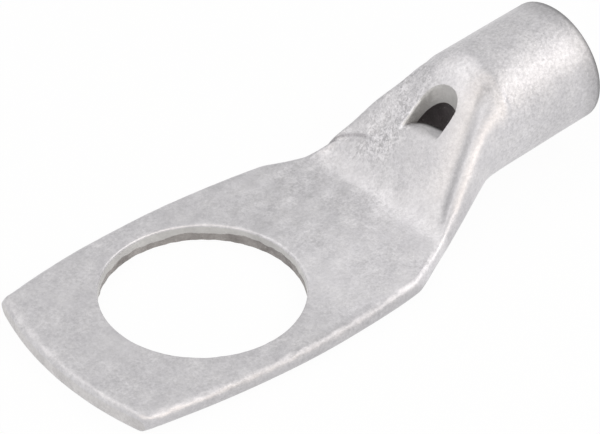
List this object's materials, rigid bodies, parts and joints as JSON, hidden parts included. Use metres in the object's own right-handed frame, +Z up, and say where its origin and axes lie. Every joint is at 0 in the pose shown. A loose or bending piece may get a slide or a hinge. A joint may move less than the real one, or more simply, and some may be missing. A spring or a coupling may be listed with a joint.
{
  "type": "cable lug",
  "caption": "Tubular ring lug: a tinned copper tube pressed flat into a palm with a bolt hole, and a ramp with an inspection window up to a barrel that takes the stripped cable.",
  "frame": {"origin": "centre of the bolt hole on the palm's underside", "axes": "+X along the lug towards the barrel's mouth, +Z up, away from the surface that the palm is bolted to"},
  "size_m": [0.0545, 0.0226, 0.013],
  "materials": {
    "tinned_copper": "electro-tinned copper, pale grey satin with fine grain and scratches"
  },
  "bodies": {
    "root": {"cable_lug": "tinned_copper"}
  },
  "joints": []
}
